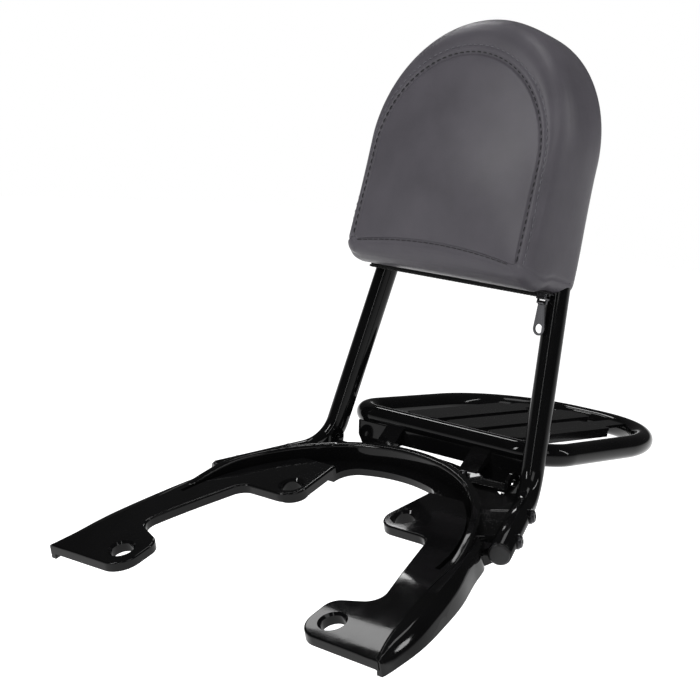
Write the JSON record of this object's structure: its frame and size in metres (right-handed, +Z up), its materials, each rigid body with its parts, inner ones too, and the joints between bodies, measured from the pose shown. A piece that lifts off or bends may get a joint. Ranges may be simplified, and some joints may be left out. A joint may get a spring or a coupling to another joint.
{
  "type": "motorcycle sissy bar",
  "caption": "Motorcycle sissy bar: cast U-shaped carrier, leaning bent-tube hoop with a zipped leather backrest pad, and a level tube luggage rack with slats behind it.",
  "frame": {"origin": "midway between the two rear carrier holes, on the top face of the ears", "axes": "+Z up with the rack level, -Y to the front of the bike, X across; mirror plane X = 0"},
  "size_m": [0.421, 0.5639, 0.5435],
  "materials": {
    "cast_paint": "gloss black",
    "tube_paint": "gloss black",
    "plug": "satin",
    "leather": "smooth satin",
    "foam": "open-cell foam",
    "zip_tape": "woven",
    "zip_metal": "gunmetal",
    "fastener": "black oxide"
  },
  "bodies": {
    "frame": {"carrier": "cast_paint", "end_plug_left": "plug", "end_plug_right": "plug", "foam_back": "foam", "foam_front": "foam", "hoop": "tube_paint", "leg_bolt_lower_left": "fastener", "leg_bolt_lower_right": "fastener", "leg_bolt_upper_left": "fastener", "leg_bolt_upper_right": "fastener", "pad_cover": "leather", "rack_bracket_left": "tube_paint", "rack_bracket_right": "tube_paint", "rack_hoop": "tube_paint", "saddle_lower_left": "fastener", "saddle_lower_right": "fastener", "saddle_upper_left": "fastener", "saddle_upper_right": "fastener", "slat_centre": "tube_paint", "slat_left": "tube_paint", "slat_right": "tube_paint", "stay_bolt_left": "fastener", "stay_bolt_right": "fastener", "stay_nut_left": "fastener", "stay_nut_right": "fastener", "zip_chain": "zip_metal", "zip_tape": "zip_tape"},
    "slider": {"zip_slider": "zip_metal"},
    "pull": {"zip_pull": "zip_metal"}
  },
  "joints": [
    {"name": "zip_slide", "type": "slide", "parent": "frame", "child": "slider", "axis": [-1, 0, 0], "range_m": [0, 0.2]},
    {"name": "pull_swing", "type": "hinge", "parent": "slider", "child": "pull", "pos_m": [0.10505, 0.12764, 0.19977], "axis": [-1, 0, 0], "range_deg": [0, 95]}
  ]
}
